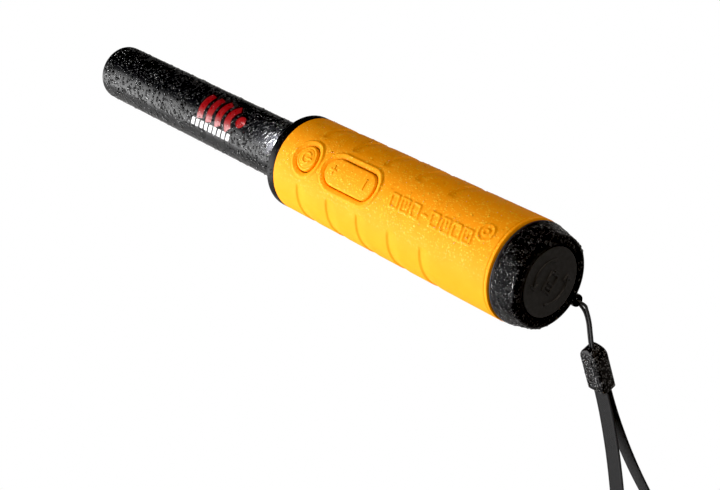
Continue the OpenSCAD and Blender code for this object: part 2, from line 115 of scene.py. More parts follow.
CORD_ROUTE = [
    (65.9, 10.8, -41.5), (65.9, 10.85, -38), (65.9, 11.4, -34), (65.9, 12, -30), (65.85, 12.2, -27),
    (65.7, 12.1, -24.2), (65.3, 11.7, -21.8), (64.6, 11.1, -19.6), (64.4, 10.25, -17.75),
    (65, 9.45, -16.4), (66.5, 9.2, -15.93), (68, 9.45, -16.4), (68.6, 10.25, -17.75),
    (68.4, 11.1, -19.6), (67.7, 11.7, -21.8), (67.3, 12.1, -24.2), (67.15, 12.2, -27),
    (67.1, 12, -30), (67.1, 11.4, -34), (67.1, 10.85, -38), (67.1, 10.8, -41.5)]
STRAP_ROUTE = [
    (66.5, 10, -56.5), (66.5, 9.9, -64), (66.5, 9.6, -72), (66.5, 8.9, -82), (66.5, 7.7, -94),
    (66.5, 5.8, -108), (66.5, 3.4, -122), (66.5, 0.6, -136), (66.5, -2, -150), (66.5, -3.9, -164),
    (66.5, -4.6, -176), (66.5, -3.6, -184), (66.5, -0.6, -190.6), (66.5, 4.4, -195),
    (66.5, 10.8, -196.6), (66.5, 17.2, -195), (66.5, 22.2, -190.6), (66.5, 25.2, -184),
    (66.5, 26.2, -176), (66.5, 25.5, -164), (66.5, 23.6, -150), (66.5, 21, -136),
    (66.5, 18.2, -122), (66.5, 15.8, -108), (66.5, 13.9, -94), (66.5, 12.7, -82),
    (66.5, 12, -72), (66.5, 11.7, -64), (66.5, 11.6, -56.5)]


# ---- camera ----

def make_camera():
    """Camera at the photo's angle, 0.63 m from the origin. Right, up and back are its own axes."""
    data = bpy.data.cameras.new("camera")
    data.lens, data.sensor_width = 88.93, 36
    data.clip_start, data.clip_end = 0.01, 20
    camera = bpy.data.objects.new("camera", data)
    right = Vector((0.64535, 0.71782, -0.26127))
    up = Vector((-0.34018, 0.57629, 0.74308))
    back = Vector((0.68396, -0.39067, 0.61609))
    camera.matrix_world = Matrix.Translation((0.42209, -0.26571, 0.38492)) @ Matrix(
        (right, up, back)).transposed().to_4x4()
    bpy.context.scene.collection.objects.link(camera)
    bpy.context.scene.camera = camera


make_camera()


# ---- mesh helpers ----

def rolled(points):
    """Points of the handle frame, in the part's frame."""
    c, s = math.cos(ROLL), math.sin(ROLL)
    x, y, z = np.asarray(points, float).T
    return np.column_stack([x, y * c - z * s, y * s + z * c])


def rolled_form(form):
    """A form (points, faces) of the handle frame, in the part's frame."""
    return rolled(form[0]), form[1]


def on_cylinder(x, angle, r):
    """Points at distance r from the axis. The angle is in radians from the button line, towards -Y."""
    x, angle, r = np.broadcast_arrays(x, angle, r)
    return np.column_stack([x.ravel(), (-r * np.sin(angle)).ravel(), (r * np.cos(angle)).ravel()])


def grid_faces(rows, columns, wrap=True, start=0):
    """Quads between neighbouring rows of points, closed round each row if wrap is true."""
    i, j = np.meshgrid(np.arange(rows - 1), np.arange(columns if wrap else columns - 1), indexing="ij")
    k = (j + 1) % columns
    quads = np.stack([i * columns + j, i * columns + k, (i + 1) * columns + k, (i + 1) * columns + j], -1)
    return (quads.reshape(-1, 4) + start).tolist()


def solid(name, form, body, material, node=None, sharp=35, merge=0.0):
    """A smooth-shaded piece from a form, which is (points, faces) in the part's frame."""
    points, faces = form
    mesh = bpy.data.meshes.new(name)
    mesh.from_pydata((np.asarray(points) * MM).tolist(), [], faces)
    work = bmesh.new()
    work.from_mesh(mesh)
    if merge:
        bmesh.ops.remove_doubles(work, verts=work.verts, dist=merge * MM)
        bmesh.ops.dissolve_degenerate(work, edges=work.edges, dist=merge * MM / 2)
    bmesh.ops.recalc_face_normals(work, faces=work.faces)
    work.to_mesh(mesh)
    work.free()
    mesh.shade_smooth()
    mesh.set_sharp_from_angle(angle=math.radians(sharp))
    piece = bpy.data.objects.new(name, mesh)
    bpy.context.scene.collection.objects.link(piece)
    mesh.materials.append(material)
    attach(piece, body)
    if node:
        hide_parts(node)
    return piece


def joined(*parts):
    """Several forms as one."""
    points, faces, start = [], [], 0
    for p, f in parts:
        points.append(np.asarray(p, float))
        faces += [[v + start for v in face] for face in f]
        start += len(p)
    return np.concatenate(points), faces


def lathe(outline, steps=192, shape=None, closed=False):
    """Turns an outline of (radius, x) about X. shape(x, angle, r) may change the radius."""
    outline = list(outline) + ([outline[0]] if closed else [])
    angle = np.linspace(-math.pi, math.pi, steps, endpoint=False)
    r = np.array([p[0] for p in outline], float)[:, None] + 0 * angle
    x = np.array([p[1] for p in outline], float)[:, None] + 0 * angle
    if shape:
        r = shape(x, angle[None, :] + 0 * x, r)
    return on_cylinder(x, angle[None, :] + 0 * x, r), grid_faces(len(outline), steps)


def arc(cx, cy, r, a0, a1, n):
    """Points (radius, x) along an arc, angles in degrees."""
    return [(cx + r * math.cos(a), cy + r * math.sin(a)) for a in np.radians(np.linspace(a0, a1, n + 1))]


def eased_radii(flat, edge, flat_rows, edge_rows):
    """Radii from the middle out, closer together over the rounded edge."""
    bend = np.sin(np.linspace(0, math.pi / 2, edge_rows))[1:]
    return np.concatenate([np.linspace(0, flat, flat_rows), flat + edge * bend])


def smooth(low, high, value):
    """Eased step from 0 at low to 1 at high."""
    t = np.clip((value - low) / (high - low), 0, 1)
    return t * t * (3 - 2 * t)


def route_curve(route, step):
    """Points every step millimetres or so along a smooth curve through the route's points."""
    p = np.array([route[0], *route, route[-1]], float)
    found = []
    for a, b, c, d in zip(p, p[1:], p[2:], p[3:]):
        n = max(2, round(float(np.linalg.norm(c - b)) / step))
        for t in np.arange(n) / n:
            found.append(0.5 * (2 * b + (c - a) * t + (2 * a - 5 * b + 4 * c - d) * t ** 2
                                + (3 * b - a - 3 * c + d) * t ** 3))
    return np.array(found + [p[-1]])


def swept(line, section, side):
    """Sweeps a section along a line. section(s, n) gives its (width, thickness) points at length s."""
    s = np.concatenate([[0], np.cumsum(np.linalg.norm(np.diff(line, axis=0), axis=1))])
    heading = np.gradient(line, axis=0)
    heading /= np.linalg.norm(heading, axis=1)[:, None]
    u = np.array(side, float) - heading * (heading @ np.array(side, float))[:, None]
    u /= np.linalg.norm(u, axis=1)[:, None]
    v = np.cross(heading, u)
    rows = []
    for middle, along_u, along_v, at in zip(line, u, v, s):
        outline = section(at)
        rows.append(middle + np.outer(outline[:, 0], along_u) + np.outer(outline[:, 1], along_v))
    n = len(rows[0])
    faces = grid_faces(len(rows), n)
    faces += [list(range(n))[::-1], list(range((len(rows) - 1) * n, len(rows) * n))]
    return np.concatenate(rows), faces


# ---- material helpers ----

class Nodes:
    """Short names for building a node material. Lengths in its textures are in millimetres."""

    def __init__(self, name):
        self.material = bpy.data.materials.new(name)
        self.material.use_nodes = True
        self.tree = self.material.node_tree
        self.shader = self.tree.nodes["Principled BSDF"]
        coordinates = self.node("TexCoord", {})["Object"]
        self.place = self.node("VectorMath", {0: coordinates, "Scale": 1 / MM}, operation="SCALE")[0]

    def node(self, kind, inputs, **settings):
        """Adds a node with these settings and inputs, and gives its outputs."""
        node = self.tree.nodes.new("ShaderNode" + kind)
        for name, value in settings.items():
            setattr(node, name, value)
        for key, value in inputs.items():
            self.link(value, node.inputs[key])
        return node.outputs

    def link(self, value, socket):
        if isinstance(value, bpy.types.NodeSocket):
            self.tree.links.new(value, socket)
        else:
            socket.default_value = value

    def math(self, operation, a, b=0.0, clamp=False):
        return self.node("Math", {0: a, 1: b}, operation=operation, use_clamp=clamp)[0]

    def axes(self):
        """The place's X, Y and Z."""
        return self.node("SeparateXYZ", {0: self.place})

    def wave(self, axis, length):
        """Sine wave along an axis, from -1 to 1."""
        return self.math("SINE", self.math("MULTIPLY", self.axes()[axis], 2 * math.pi / length))

    def noise(self, size, detail=3.0):
        return self.node("TexNoise", {"Vector": self.place, "Scale": 1 / size, "Detail": detail})["Fac"]

    def cells(self, size, feature="F1", place=None):
        inputs = {"Vector": place or self.place, "Scale": 1 / size}
        return self.node("TexVoronoi", inputs, feature=feature)

    def remap(self, value, from_low, from_high, to_low, to_high):
        return self.node("MapRange", {"Value": value, "From Min": from_low, "From Max": from_high,
                                      "To Min": to_low, "To Max": to_high})["Result"]

    def mix(self, share, a, b):
        """Colour a where the share is 0 and colour b where it is 1."""
        return self.node("Mix", {0: share, 6: a, 7: b}, data_type="RGBA")[2]

    def bump(self, height, depth, normal=None):
        """Bumps of the given depth in millimetres where the height goes from 0 to 1."""
        below = {} if normal is None else {"Normal": normal}
        return self.node("Bump", {"Distance": depth * MM, "Height": height, **below})["Normal"]

    def unrolled(self, radius):
        """Place on a tube along X: its length, and the length round it at the given radius."""
        axes = self.axes()
        angle = self.math("ARCTAN2", axes["Y"], axes["Z"])
        return self.node("CombineXYZ", {0: axes["X"], 1: self.math("MULTIPLY", angle, radius)})[0]

    def drops(self, size, largest, share, place=None):
        """Height from 0 to 1 of round water drops in cells of the given size."""
        cell = self.cells(size, place=place)
        pick = self.node("SeparateColor", {0: cell["Color"]})
        radius = self.math("MULTIPLY", self.remap(pick[0], 0, 1, 0.35, 1), largest)
        there = self.math("LESS_THAN", pick[1], share)
        near = self.math("DIVIDE", cell["Distance"], radius)
        dome = self.math("SUBTRACT", 1, self.math("POWER", near, 2), clamp=True)
        return self.math("MULTIPLY", self.math("POWER", dome, 0.5), there)

    def done(self, **sockets):
        """Sets or links the shader's sockets and gives the finished material."""
        for name, value in sockets.items():
            self.link(value, self.shader.inputs[name.replace("_", " ")])
        return self.material


def rgb(r, g, b):
    return (r, g, b, 1.0)


def plain(name, colour, roughness, grain=0.25, depth=0.01, spread=0.25, **sockets):
    """Moulded or cast surface: a fine grain in relief, and colour and gloss that vary a little."""
    n = Nodes(name)
    dark = rgb(*(c * (1 - spread) for c in colour))
    light = rgb(*(min(1, c * (1 + spread)) for c in colour))
    patches = n.noise(6, 4)
    relief = n.noise(grain, 4)
    return n.done(
        Base_Color=n.mix(n.remap(patches, 0.3, 0.7, 0, 1), dark, light),
        Roughness=n.remap(n.noise(2.5), 0.3, 0.7, roughness * 0.85, min(1, roughness * 1.15)),
        Normal=n.bump(relief, depth), **sockets)


# ---- materials of what shows ----

def grip_rubber():
    """Matte yellow rubber with a fine grain, damp, with a mist of tiny drops whose sparkle is painted into
    the colour as lighter spots.
    """
    n = Nodes("grip_rubber")
    patches = n.noise(9, 5)
    # the drops and their painted sparkle are kept to the upper side, which lies in shade
    upper_side = n.remap(n.axes()["Z"], 6, 15, 0, 1)
    mist = n.math("MULTIPLY", n.drops(0.75, 0.47, 0.75), upper_side)
    beads = n.math("MULTIPLY", n.drops(1.2, 0.45, 0.35), upper_side)
    wet = n.math("MAXIMUM", mist, beads)
    dry = n.mix(n.remap(patches, 0.3, 0.7, 0, 1), rgb(0.90, 0.305, 0.01), rgb(0.94, 0.335, 0.014))
    normal = n.bump(n.noise(0.16, 2), 0.012)
    normal = n.bump(mist, 0.05, normal)
    normal = n.bump(beads, 0.1, normal)
    # painted highlight: the colour is lighter where the drops stand
    colour = n.mix(n.math("MULTIPLY", wet, 0.85), dry, rgb(1, 0.58, 0.05))
    return n.done(Base_Color=colour, Normal=normal, Roughness=n.remap(wet, 0, 0.3, 0.62, 0.15),
                  Specular_IOR_Level=0.06)


def wet_black(name, colour, roughness, mist_share, bead_share, gloss, painted_glint, tube=None):
    """Dark plastic covered with drops of two sizes, with highlights painted into the colour round the drops'
    feet at the brightness painted_glint.

    On a tube of the given radius the drops are packed evenly over its surface.
    """
    n = Nodes(name)
    place = n.unrolled(tube) if tube else n.place
    bead_cell, bead_size, bead_depth = (1.7, 0.62, 1.2) if tube else (1.6, 0.46, 0.55)
    patches = n.noise(7, 4)
    low = rgb(*(c * 0.7 for c in colour))
    high = rgb(*(c * 1.3 for c in colour))
    mist = n.drops(0.9, 0.46, mist_share, place)
    beads = n.drops(bead_cell, bead_size, bead_share, place)
    wet = n.math("MAXIMUM", mist, beads)
    # painted highlight: share of the lighter colour round each drop's foot
    painted_glint_feet = n.math("MULTIPLY", n.remap(wet, 0.05, 0.35, 0, 1), n.remap(wet, 0.5, 0.85, 1, 0))
    dry = n.mix(patches, low, high)
    normal = n.bump(n.noise(0.2, 2), 0.006)
    normal = n.bump(mist, 0.3, normal)
    normal = n.bump(beads, bead_depth, normal)
    # the base colour takes the painted highlight round the drops' feet
    return n.done(Base_Color=n.mix(painted_glint_feet, dry, rgb(painted_glint, painted_glint, painted_glint)), Normal=normal,
                  Roughness=n.remap(wet, 0, 0.3, roughness, 0.07), Specular_IOR_Level=gloss)


def badge_plastic():
    """Matte charcoal plastic with a spark-eroded grain."""
    n = Nodes("badge_plastic")
    relief = n.math("ADD", n.noise(0.22, 3), n.math("MULTIPLY", n.noise(0.8, 2), 0.5))
    colour = n.mix(n.noise(5, 4), rgb(0.010, 0.010, 0.0105), rgb(0.016, 0.016, 0.016))
    return n.done(Base_Color=colour, Normal=n.bump(relief, 0.02),
                  Roughness=n.remap(n.noise(1.4), 0.3, 0.7, 0.55, 0.68))


def webbing():
    """Woven nylon tape: rows of ribs across it, broken up by the threads along it."""
    n = Nodes("webbing")
    weave = n.remap(n.math("MULTIPLY", n.wave("X", 0.62), n.wave("Z", 0.8)), -1, 1, 0, 1)
    fuzz = n.noise(0.12, 4)
    relief = n.math("ADD", weave, n.math("MULTIPLY", fuzz, 0.4))
    colour = n.mix(weave, rgb(0.004, 0.004, 0.0045), rgb(0.013, 0.013, 0.014))
    return n.done(Base_Color=colour, Normal=n.bump(relief, 0.14), Specular_IOR_Level=0.2,
                  Roughness=n.remap(fuzz, 0.3, 0.7, 0.6, 0.85), Sheen_Weight=0.06, Sheen_Roughness=0.4)


def braided_nylon():
    """Thin braided cord."""
    n = Nodes("braided_nylon")
    strands = n.cells(0.3, "SMOOTH_F1")["Distance"]
    colour = n.mix(n.remap(strands, 0, 0.6, 0, 1), rgb(0.02, 0.02, 0.021), rgb(0.004, 0.004, 0.004))
    return n.done(Base_Color=colour, Normal=n.bump(strands, 0.05),
                  Roughness=n.remap(strands, 0, 0.6, 0.4, 0.7))


def torch_glass():
    """Clear moulded lens, bright because the LED behind it is on."""
    n = Nodes("torch_glass")
    ripples = n.cells(0.5, "SMOOTH_F1")["Distance"]
    return n.done(Base_Color=n.mix(ripples, rgb(0.9, 0.95, 1), rgb(0.75, 0.85, 0.95)),
                  Roughness=n.remap(ripples, 0, 0.6, 0.05, 0.15), Normal=n.bump(ripples, 0.05),
                  Emission_Color=rgb(0.93, 0.97, 1), Emission_Strength=4.0,
                  Transmission_Weight=0.5, IOR=1.49)


def print_ink(name, colour):
    """Pad-printed ink, slightly uneven, with the damp gloss of the tube."""
    n = Nodes(name)
    thin = rgb(*(c * 0.7 for c in colour))
    return n.done(Base_Color=n.mix(n.remap(n.noise(0.6, 4), 0.35, 0.65, 0, 1), thin, rgb(*colour)),
                  Normal=n.bump(n.drops(0.7, 0.4, 0.4), 0.1),
                  Roughness=n.remap(n.noise(1.2), 0.3, 0.7, 0.25, 0.4))


def water():
    """Standing drops of water."""
    n = Nodes("water")
    swirl = n.noise(0.6, 2)
    return n.done(Base_Color=n.mix(swirl, rgb(0.97, 0.98, 1), rgb(1, 1, 1)),
                  Roughness=n.remap(swirl, 0, 1, 0.0, 0.03), Transmission_Weight=1.0, IOR=1.45)


GRIP_RUBBER = grip_rubber()
# painted_glint is the brightness of the highlights painted round the drops
PROBE_PLASTIC = wet_black("probe_plastic", (0.004, 0.004, 0.0045), roughness=0.26, mist_share=0.6,
                          bead_share=0.95, gloss=0.12, painted_glint=0.025, tube=PROBE_R)
COLLAR_PLASTIC = wet_black("collar_plastic", (0.004, 0.004, 0.0045), roughness=0.35, mist_share=0.5,
                           bead_share=0.3, gloss=0.07, painted_glint=0.03)
CAP_PLASTIC = wet_black("cap_plastic", (0.006, 0.006, 0.0065), roughness=0.3, mist_share=0.85,
                        bead_share=0.9, gloss=0.05, painted_glint=0.07)
SLIDER_PLASTIC = wet_black("slider_plastic", (0.005, 0.005, 0.0055), roughness=0.35, mist_share=0.85,
                           bead_share=0.9, gloss=0.12, painted_glint=0.2)
BADGE_PLASTIC = badge_plastic()
WEBBING = webbing()
CORD_NYLON = braided_nylon()
SEAL_RUBBER = plain("seal_rubber", (0.012, 0.012, 0.012), 0.6)
TORCH_GLASS = torch_glass()
WATER = water()


# ---- lanyard ----

def lanyard_cord():
    """Doubled thin cord: up through the eyelet and back down, with a braid in relief."""
    line = route_curve(CORD_ROUTE, 0.35)
    angles = np.linspace(0, 2 * math.pi, 14, endpoint=False)

    def section(s):
        braid = 1 + 0.05 * np.sin(4 * angles + s * 5) * np.sin(4 * angles - s * 5)
        return CORD_D / 2 * np.column_stack([np.cos(angles), np.sin(angles)]) * braid[:, None]

    form = swept(line, section, (0, 0.95, 0.3))
    return solid("cord", form, "lanyard", CORD_NYLON, "lanyard_cord", sharp=60), line


def lanyard_strap():
    """Webbing loop with thicker woven edges and fine ribs across its width."""
    line = route_curve(STRAP_ROUTE, 0.6)
    half, thick = STRAP_W / 2, STRAP_T / 2
    across = np.linspace(-1, 1, 25)
    profile = thick * (0.72 + 0.28 * smooth(0.72, 0.9, np.abs(across)))
    profile *= np.sqrt(1 - 0.75 * smooth(0.93, 1, np.abs(across)))

    def section(s):
        rib = 0.012 * np.sin(2 * math.pi * s / 1.2)
        top = np.column_stack([across * half, profile + rib])
        bottom = np.column_stack([across[::-1] * half, -profile[::-1] - rib])
        return np.concatenate([top, bottom])

    form = swept(line, section, (1, 0, 0))
    return solid("strap", form, "lanyard", WEBBING, "lanyard_strap", sharp=50), line


def rounded_box_section(w, t, edge, n=6):
    """Closed outline of a rectangle w by t with rounded corners."""
    found = []
    for cx, cy, start in ((1, 1, 0), (-1, 1, 90), (-1, -1, 180), (1, -1, 270)):
        for a in np.radians(np.linspace(start, start + 90, n)):
            found.append((cx * (w / 2 - edge) + edge * math.cos(a),
                          cy * (t / 2 - edge) + edge * math.sin(a)))
    return np.array(found)


def slider_level(w, t, edge, z):
    """Rounded outline, w by t, round the lanyard's middle line at height z."""
    outline = rounded_box_section(w, t, edge)
    return np.column_stack([outline + LANYARD, np.full(len(outline), z)])


def lanyard_slider():
    """Bullet-shaped block with a round top, a bevelled foot and a mouth that takes the webbing."""
    base, dome_r, bevel, mouth_depth = SLIDER_TOP - SLIDER_LEN, SLIDER_W / 2, 0.8, 3
    dome = SLIDER_LEN - dome_r * np.cos(np.linspace(0, math.pi / 2, 16))[1:]
    side = np.linspace(bevel + 0.6, SLIDER_LEN - dome_r - 0.3, 16)
    rows = []
    for h in [*np.linspace(0, bevel, 4), *side, *dome]:
        top = max(0.0, h - (SLIDER_LEN - dome_r))
        width = 2 * math.sqrt(max(0.09, dome_r ** 2 - top ** 2))
        foot = 0.7 * (1 - min(1.0, h / bevel)) ** 1.5
        thick = SLIDER_T - 2 * foot - 1.8 * (top / dome_r) ** 3
        edge = min(1.0, width / 2.2 - foot, thick / 2.2)
        rows.append(slider_level(width - 2 * foot, thick, edge, base + h))
    n = len(rows[0])
    faces = grid_faces(len(rows), n)
    inner = [slider_level(STRAP_W + 0.3, 3.2, 0.7, z) for z in (base, base + mouth_depth)]
    start = len(rows) * n
    faces += [[start + (k + 1) % n, start + k, k, (k + 1) % n] for k in range(n)]
    faces += [[start + k, start + (k + 1) % n, start + n + (k + 1) % n, start + n + k] for k in range(n)]
    faces += [list(range(start + n, start + 2 * n)), list(range((len(rows) - 1) * n, len(rows) * n))]
    return solid("slider", (np.concatenate(rows + inner), faces), "lanyard", SLIDER_PLASTIC,
                 "lanyard_slider", sharp=40)


def lanyard():
    slider = lanyard_slider()
    cord, line = lanyard_cord()
    strap, line = lanyard_strap()


lanyard()


# ---- grip ----

FAR = 9.0                      # further from a raised mark than any of its strokes reaches


def stadium_distance(x, y, half, r):
    """Distance outside a stadium that is half long on each side of its middle."""
    return np.hypot(np.maximum(np.abs(x) - half, 0), y) - r


def segment_distance(x, y, x0, y0, x1, y1):
    dx, dy = x1 - x0, y1 - y0
    t = np.clip(((x - x0) * dx + (y - y0) * dy) / (dx * dx + dy * dy), 0, 1)
    return np.hypot(x - x0 - t * dx, y - y0 - t * dy)


def box_distance(x, y, left, right, half):
    """Distance from the outline of a box that reaches half on each side of y = 0."""
    corners = [(left, -half), (right, -half), (right, half), (left, half), (left, -half)]
    return np.minimum.reduce([segment_distance(x, y, *a, *b) for a, b in zip(corners, corners[1:])])


def opening_distances(x, y):
    """Distance outside the edge of the power button's and of the rocker's opening."""
    power = np.hypot(x - POWER[0], y) - POWER[1] - BUTTON_GAP
    rocker = stadium_distance(x - ROCKER[0], y, ROCKER[1], ROCKER[2] + BUTTON_GAP)
    return power, rocker


# Height of the raised rim by distance from the opening's edge: the wall down to the shell, the
# slope up to the crest, and the steep outer side
RIM_AT = (0, 0.1, 0.25, 0.45, 1.1, 1.7, 1.95, 2.15, 2.4, 2.6, 3.0, 3.6)
RIM_HEIGHT = (-1.25, -0.75, -0.42, -0.32, 0.02, 0.32, 0.38, 0.33, 0.06, -0.09, -0.07, 0)


def rims(x, y):
    """Height of the raised rims round both openings."""
    power_d, rocker_d = opening_distances(x, y)
    power_h, rocker_h = (np.interp(d, RIM_AT, RIM_HEIGHT) for d in (power_d, rocker_d))
    both = np.where(np.maximum(power_h, rocker_h) > 0, np.maximum(power_h, rocker_h),
                    np.minimum(power_h, rocker_h))
    return np.where(power_d < 1, power_h, np.where(rocker_d < 1, rocker_h, both))


def shingle_steps(x, angle):
    """Shallow steps round the back of the grip: a sharp drop, then a long rise to the next."""
    depth, foot = 0.45, 0.1
    side = smooth(GROOVE_START - 1.5, GROOVE_START + 2, np.degrees(np.abs(angle)))
    height = 0 * x
    for i in range(GROOVES):
        d = x - GROOVE_FIRST - i * GROOVE_PITCH
        drop = smooth(-0.75, foot, d)
        rise = 1 - smooth(foot, 5.5, d)
        height = height - depth * drop * rise
    return height * side


def meter_marks(x, y):
    """Raised outlines like the segments of a level meter, a dash, and a target ring."""
    slant, stroke, height = 0.22, 0.36, 0.34
    first, pitch, wide, half_tall = 4.2, 5.35, 3.5, 2.3
    dash_place, dash_saves = 3, 0.9
    ring_x, ring_y, ring_radii = 48.4, 4.0, (3.1, 1.1)
    u = x + slant * y
    near = segment_distance(u, y, 20.4, 0, 22.2, 0)
    for i in range(8):
        left = first + pitch * i - (dash_saves if i > dash_place else 0)
        if i != dash_place:
            near = np.minimum(near, box_distance(u, y, left, left + wide, half_tall))
        if i % 2 == 1 and i != dash_place:
            middle = left + wide / 2
            near = np.minimum(near, segment_distance(u, y, middle, -0.6, middle, half_tall))
    out = np.hypot(x - ring_x, y - ring_y)
    for r in ring_radii:
        near = np.minimum(near, np.abs(out - r))
    return height * (1 - smooth(stroke * 0.6, stroke * 1.4, near))


def grip_base(x):
    """Radius of the tapered grip without its relief."""
    return GRIP_R[0] + (GRIP_R[1] - GRIP_R[0]) * (x - GRIP_FRONT) / (GRIP_REAR - GRIP_FRONT)


def grip_height(x, angle, r):
    """Radius of the grip's outer surface, kept inside the CAD box."""
    line_back, line_depth, line_width, round_r, slack = 1.3, 0.22, 0.28, 0.45, 0.01
    y = -r * np.sin(angle)
    front = np.cos(angle) > 0.5
    relief = np.where(front, rims(x, y) + meter_marks(x, y), 0) + shingle_steps(x, angle)
    line = -line_depth * np.exp(-((x - (GRIP_REAR - line_back)) / line_width) ** 2)
    ends = np.minimum(x - GRIP_FRONT, GRIP_REAR - x)
    edge = round_r - np.sqrt(np.maximum(0, round_r ** 2 - np.maximum(0, round_r - ends) ** 2))
    turned = angle + ROLL
    top = (cad_high.z / MM - slack) / np.maximum(np.cos(turned), 0.5)
    side = (-cad_low.y / MM - slack) / np.maximum(np.sin(turned), 0.5)
    return np.minimum(r + relief + line - edge, np.minimum(top, side))


def spaced(stops):
    """Positions through the stops (position, step to the next)."""
    found = []
    for (a, step), (b, _) in zip(stops, stops[1:]):
        found += list(np.linspace(a, b, max(1, round((b - a) / step)), endpoint=False))
    return np.array(found + [stops[-1][0]])


def grip_sleeve():
    """Rubber sleeve: its outer skin, its bore, and the walls of its ends and openings."""
    x = spaced([(GRIP_FRONT, 0.1), (GRIP_FRONT + 0.5, 0.6), (-52, 0.34), (0, 0.4), (53.5, 0.5),
                (GRIP_REAR - 2.2, 0.18), (GRIP_REAR - 0.5, 0.1), (GRIP_REAR, 1)])
    degrees = spaced([(-180, 3.6), (-36, 2), (-28, 1), (28, 2), (36, 3.6), (180, 1)])[:-1]
    angle = np.radians(degrees)
    gx, ga = np.meshgrid(x, angle, indexing="ij")
    base = grip_base(gx)
    gx, ga, outside = snapped_to_openings(gx, ga, base)
    outer = upright(gx, ga, base, np.maximum(grip_height(gx, ga, base), SHELL_R + 0.05))
    inner = upright(gx, ga, base, SHELL_R + 0 * base)
    quads = np.array(grid_faces(len(x), len(angle)))
    quads = quads[outside.ravel()[quads].any(axis=1)]
    count = len(outer)
    faces = quads.tolist() + (quads[:, ::-1] + count).tolist() + wall_faces(quads, count)
    form = rolled(np.concatenate([outer, inner])), faces
    solid("grip", form, "handle", GRIP_RUBBER, "grip_sleeve", sharp=60, merge=0.004)


def upright(x, angle, base, r):
    """Points on the cylinder of radius r, straight below those of radius base near the buttons."""
    share = smooth(20, 36, np.degrees(np.abs(angle)))
    y = -np.sin(angle) * (base + (r - base) * share)
    z = np.sqrt(np.maximum(0, r ** 2 - y ** 2)) * np.sign(np.cos(angle))
    return np.column_stack([x.ravel(), y.ravel(), z.ravel()])


def wall_faces(quads, count):
    """Quads that join the free edges of a skin to those of its copy, count points further on."""
    edges = np.concatenate([quads[:, [k, (k + 1) % 4]] for k in range(4)])
    _, first, uses = np.unique(np.sort(edges, axis=1), axis=0, return_index=True, return_counts=True)
    return [[b, a, a + count, b + count] for a, b in edges[first[uses == 1]].tolist()]


def snapped_to_openings(x, angle, r):
    """Moves the grid's points just inside an opening onto its edge, and tells which lie outside."""
    y = -r * np.sin(angle)
    front = np.cos(angle) > 0.5
    outside = ~front | (np.minimum(*opening_distances(x, y)) > 0)
    reach_out, reach_in = 0.06, 0.7
    for which, centre, half in ((0, POWER[0], 0.0), (1, ROCKER[0], ROCKER[1])):
        d = opening_distances(x, y)[which]
        ux, uy = x - centre - np.clip(x - centre, -half, half), y
        norm = np.maximum(np.hypot(ux, uy), 0.001)
        move = np.where((d < reach_out) & (d > -reach_in) & front, d, 0)
        x, y = x - move * ux / norm, y - move * uy / norm
    return x, np.where(front, -np.arcsin(np.clip(y / r, -1, 1)), angle), outside


grip_sleeve()


# ---- buttons ----

def button_surface(y, inset, emboss):
    """Top of a button: the handle's curve, rounded off at its edge, with a raised sign."""
    edge = 0.6
    drop = edge - np.sqrt(np.maximum(0, edge ** 2 - np.maximum(0, edge - inset) ** 2))
    return np.sqrt(BUTTON_TOP ** 2 - y ** 2) - drop + emboss


def power_sign(x, y):
    """Height of the raised power sign, inside a fine groove."""
    ring = np.abs(np.hypot(x, y) - 2.0)
    ring = np.where((np.abs(y) < 0.95) & (x > 0), FAR, ring)
    bar = segment_distance(x, y, 0.3, 0, 2.5, 0)
    groove = -0.12 * (1 - smooth(0.1, 0.35, np.abs(np.hypot(x, y) - 3.75)))
    return 0.28 * (1 - smooth(0.22, 0.5, np.minimum(ring, bar))) + groove


def rocker_signs(x, y):
    """Height of the raised plus and minus."""
    plus = np.minimum(segment_distance(x, y, -10.4, 0.3, -7.4, 0.3),
                      segment_distance(x, y, -8.9, -1.2, -8.9, 1.8))
    minus = segment_distance(x, y, 8.0, -1.6, 8.0, 2.2)
    return 0.28 * (1 - smooth(0.22, 0.55, np.minimum(plus, minus)))


def ring_rows(radii, outline):
    """Points of concentric outlines: outline(r) gives the ring of that radius."""
    return np.stack([outline(r) for r in radii])


def button_solid(name, centre, radius, outline, sign, z_low, stems, body, node):
    """A button cap with its sign, its wall, its underside and its stems (x, foot)."""
    ridge_r, ridge_half = 0.75, 4.3
    stem_r, chamfer, steps = 2.4, 0.25, 48
    radii = eased_radii(radius - 0.7, 0.7, 34, 8)
    rows = ring_rows(radii, outline)
    x, y = rows[..., 0], rows[..., 1]
    z = button_surface(y, (radius - radii)[:, None] + 0 * x, sign(x, y))
    top = np.stack([x + centre, y, z], -1)
    under = ring_rows([radius, radius - 0.3, radius * 0.66, radius * 0.33, 0], outline)
    ux, uy = under[..., 0], under[..., 1]
    arch = np.where((np.abs(ux) < ridge_r) & (np.abs(uy) < ridge_half) & (len(stems) > 1),
                    np.sqrt(np.maximum(0, ridge_r ** 2 - ux ** 2)) - (z_low - ROCKER_PIVOT), 0)
    bottom = np.stack([ux + centre, uy, z_low + np.maximum(0, arch)], -1)
    skin = np.concatenate([top, bottom])
    parts = [(skin.reshape(-1, 3), grid_faces(len(skin), skin.shape[1]))]
    for sx, foot in stems:
        levels = ((stem_r, z_low + 0.3), (stem_r, foot + chamfer), (stem_r - chamfer, foot))
        rings = [np.column_stack([circle_outline(r, steps) + (centre + sx, 0), np.full(steps, z)])
                 for r, z in levels]
        ends = [list(range(steps)), list(range(2 * steps, 3 * steps))[::-1]]
        parts.append((np.concatenate(rings), grid_faces(len(levels), steps) + ends))
    solid(name, rolled_form(joined(*parts)), body, GRIP_RUBBER, node, sharp=50, merge=0.004)


def circle_outline(r, steps=144):
    a = np.linspace(0, 2 * math.pi, steps, endpoint=False)
    return np.column_stack([r * np.cos(a), r * np.sin(a)])


